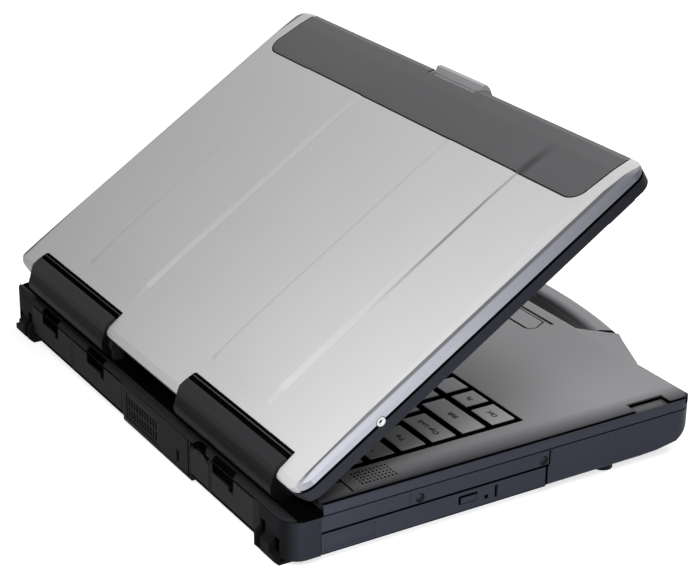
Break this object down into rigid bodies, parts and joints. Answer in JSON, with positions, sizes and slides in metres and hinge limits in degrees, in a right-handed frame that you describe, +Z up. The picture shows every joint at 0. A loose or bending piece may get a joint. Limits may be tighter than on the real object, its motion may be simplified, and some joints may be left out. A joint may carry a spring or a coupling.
{
  "type": "laptop computer",
  "caption": "Rugged notebook computer with a front carry handle, rear port covers, side disc drive and a lid held partly open.",
  "frame": {"origin": "middle of the footprint, on the surface that it stands on", "axes": "+X to the user's right, +Y to the hinge side (rear), +Z up; the handle is at the front, -Y"},
  "size_m": [0.3408, 0.292, 0.1774],
  "materials": {
    "magnesium_case": "satin dark blue-grey paint on cast magnesium",
    "deck_plastic": "fine moulded grain",
    "handle_plastic": "fine moulded grain",
    "guard_rubber": "matt moulded elastomer",
    "foot_rubber": "matt",
    "plate_steel": "black coated sheet",
    "key_plastic": "moulded, lightly polished by use",
    "touchpad_plastic": "fine etched",
    "circuit_board": "solder mask",
    "copper": "bare",
    "black_plastic": "moulded",
    "drive_metal": "rolled sheet",
    "silver_paint": "fine metallic paint on cast magnesium",
    "band_plastic": "dark satin lacquer",
    "screen_glass": "dark display",
    "latch_plastic": "silver painted",
    "hinge_steel": "plain",
    "screw_steel": "black oxide",
    "white_plastic": "moulded"
  },
  "bodies": {
    "base": {"bottom_case": "magnesium_case", "top_cover": "deck_plastic", "carry_handle": "handle_plastic", "corner_guard_left": "guard_rubber", "corner_guard_right": "guard_rubber", "rubber_feet": "foot_rubber", "keyboard_plate": "plate_steel", "key_caps": "key_plastic", "touchpad": "touchpad_plastic", "speaker_left": "black_plastic", "speaker_right": "black_plastic", "motherboard": "circuit_board", "memory_modules": "circuit_board", "heat_sink": "copper", "fan_housing": "black_plastic", "hard_drive": "drive_metal", "battery_pack": "magnesium_case", "optical_drive": "drive_metal", "side_strip_cover": "magnesium_case", "side_screws": "screw_steel", "power_inlet": "black_plastic", "vent_grille": "black_plastic", "memory_hatch": "magnesium_case", "bottom_screws": "screw_steel", "hinge_bracket_left": "plate_steel", "hinge_bracket_right": "plate_steel"},
    "lid": {"hinge_arm_left": "hinge_steel", "hinge_arm_right": "hinge_steel", "hinge_cover_left": "black_plastic", "hinge_cover_right": "black_plastic", "lid_shell": "silver_paint", "lid_band": "band_plastic", "display_bezel": "black_plastic", "lcd_panel": "screen_glass", "lid_bumpers": "foot_rubber", "lid_screws": "white_plastic"},
    "lid_latch": {"lid_latch": "latch_plastic"},
    "key_control": {"key_control": "key_plastic"},
    "key_function": {"key_function": "key_plastic"},
    "key_menu": {"key_menu": "key_plastic"},
    "space_bar": {"space_bar": "key_plastic"},
    "key_shift": {"key_shift": "key_plastic"},
    "key_caps_lock": {"key_caps_lock": "key_plastic"},
    "key_tab": {"key_tab": "key_plastic"},
    "touchpad_button_left": {"touchpad_button_left": "key_plastic"},
    "touchpad_button_right": {"touchpad_button_right": "key_plastic"},
    "fan_rotor": {"fan_rotor": "black_plastic"},
    "battery_latch": {"battery_latch": "black_plastic"},
    "power_switch": {"power_switch": "latch_plastic"},
    "disc_tray": {"disc_tray": "magnesium_case"},
    "disc_spindle": {"disc_spindle": "drive_metal"},
    "eject_button": {"eject_button": "black_plastic"},
    "power_inlet_cover": {"power_inlet_cover": "black_plastic"},
    "port_cover_left": {"port_cover_left": "black_plastic"},
    "port_latch_left": {"port_latch_left": "black_plastic"},
    "port_cover_middle": {"port_cover_middle": "black_plastic"},
    "port_latch_middle": {"port_latch_middle": "black_plastic"},
    "port_cover_right": {"port_cover_right": "black_plastic"},
    "port_latch_right": {"port_latch_right": "black_plastic"}
  },
  "joints": [
    {"name": "lid_hinge", "type": "hinge", "parent": "base", "child": "lid", "pos_m": [0, 0.1329, 0.0365], "axis": [-1, 0, 0], "range_deg": [-32.8, 92.2]},
    {"name": "lid_latch_pivot", "type": "hinge", "parent": "lid", "child": "lid_latch", "pos_m": [0, -0.06843, 0.17101], "axis": [-1, 0, 0], "range_deg": [0, 20], "stiffness_Nm_per_rad": 0.05, "springref_deg": -11.46},
    {"name": "key_control_press", "type": "slide", "parent": "base", "child": "key_control", "axis": [0, 0, -1], "range_m": [0, 0.002], "stiffness_N_per_m": 300, "springref_m": -0.001},
    {"name": "key_function_press", "type": "slide", "parent": "base", "child": "key_function", "axis": [0, 0, -1], "range_m": [0, 0.002], "stiffness_N_per_m": 300, "springref_m": -0.001},
    {"name": "key_menu_press", "type": "slide", "parent": "base", "child": "key_menu", "axis": [0, 0, -1], "range_m": [0, 0.002], "stiffness_N_per_m": 300, "springref_m": -0.001},
    {"name": "space_bar_press", "type": "slide", "parent": "base", "child": "space_bar", "axis": [0, 0, -1], "range_m": [0, 0.002], "stiffness_N_per_m": 300, "springref_m": -0.001},
    {"name": "key_shift_press", "type": "slide", "parent": "base", "child": "key_shift", "axis": [0, 0, -1], "range_m": [0, 0.002], "stiffness_N_per_m": 300, "springref_m": -0.001},
    {"name": "key_caps_lock_press", "type": "slide", "parent": "base", "child": "key_caps_lock", "axis": [0, 0, -1], "range_m": [0, 0.002], "stiffness_N_per_m": 300, "springref_m": -0.001},
    {"name": "key_tab_press", "type": "slide", "parent": "base", "child": "key_tab", "axis": [0, 0, -1], "range_m": [0, 0.002], "stiffness_N_per_m": 300, "springref_m": -0.001},
    {"name": "touchpad_button_left_press", "type": "slide", "parent": "base", "child": "touchpad_button_left", "axis": [0, 0, -1], "range_m": [0, 0.0008], "stiffness_N_per_m": 500, "springref_m": -0.001},
    {"name": "touchpad_button_right_press", "type": "slide", "parent": "base", "child": "touchpad_button_right", "axis": [0, 0, -1], "range_m": [0, 0.0008], "stiffness_N_per_m": 500, "springref_m": -0.001},
    {"name": "fan_spin", "type": "hinge", "parent": "base", "child": "fan_rotor", "pos_m": [-0.0095, 0.113, 0.0125], "axis": [0, 0, 1], "continuous": true},
    {"name": "battery_latch_slide", "type": "slide", "parent": "base", "child": "battery_latch", "axis": [0, 1, 0], "range_m": [0, 0.005]},
    {"name": "power_switch_slide", "type": "slide", "parent": "base", "child": "power_switch", "axis": [0, 1, 0], "range_m": [0, 0.005], "stiffness_N_per_m": 120, "springref_m": -0.001},
    {"name": "disc_tray_slide", "type": "slide", "parent": "base", "child": "disc_tray", "axis": [-1, 0, 0], "range_m": [0, 0.118]},
    {"name": "disc_spin", "type": "hinge", "parent": "disc_tray", "child": "disc_spindle", "pos_m": [-0.104, 0.0535, 0.0095], "axis": [0, 0, 1], "continuous": true},
    {"name": "eject_press", "type": "slide", "parent": "disc_tray", "child": "eject_button", "axis": [1, 0, 0], "range_m": [0, 0.0008], "stiffness_N_per_m": 400, "springref_m": -0.0005},
    {"name": "port_cover_left_hinge", "type": "hinge", "parent": "base", "child": "port_cover_left", "pos_m": [-0.113, 0.1415, 0.0081], "axis": [-1, 0, 0], "range_deg": [0, 90]},
    {"name": "port_latch_left_slide", "type": "slide", "parent": "port_cover_left", "child": "port_latch_left", "axis": [1, 0, 0], "range_m": [0, 0.005]},
    {"name": "port_cover_middle_hinge", "type": "hinge", "parent": "base", "child": "port_cover_middle", "pos_m": [0.04875, 0.1415, 0.0081], "axis": [-1, 0, 0], "range_deg": [0, 90]},
    {"name": "port_latch_middle_slide", "type": "slide", "parent": "port_cover_middle", "child": "port_latch_middle", "axis": [1, 0, 0], "range_m": [0, 0.005]},
    {"name": "port_cover_right_hinge", "type": "hinge", "parent": "base", "child": "port_cover_right", "pos_m": [0.1116, 0.1415, 0.0081], "axis": [-1, 0, 0], "range_deg": [0, 90]},
    {"name": "port_latch_right_slide", "type": "slide", "parent": "port_cover_right", "child": "port_latch_right", "axis": [1, 0, 0], "range_m": [0, 0.005]},
    {"name": "power_inlet_cover_hinge", "type": "hinge", "parent": "base", "child": "power_inlet_cover", "pos_m": [-0.0775, 0.1415, 0.0081], "axis": [-1, 0, 0], "range_deg": [0, 90]}
  ]
}
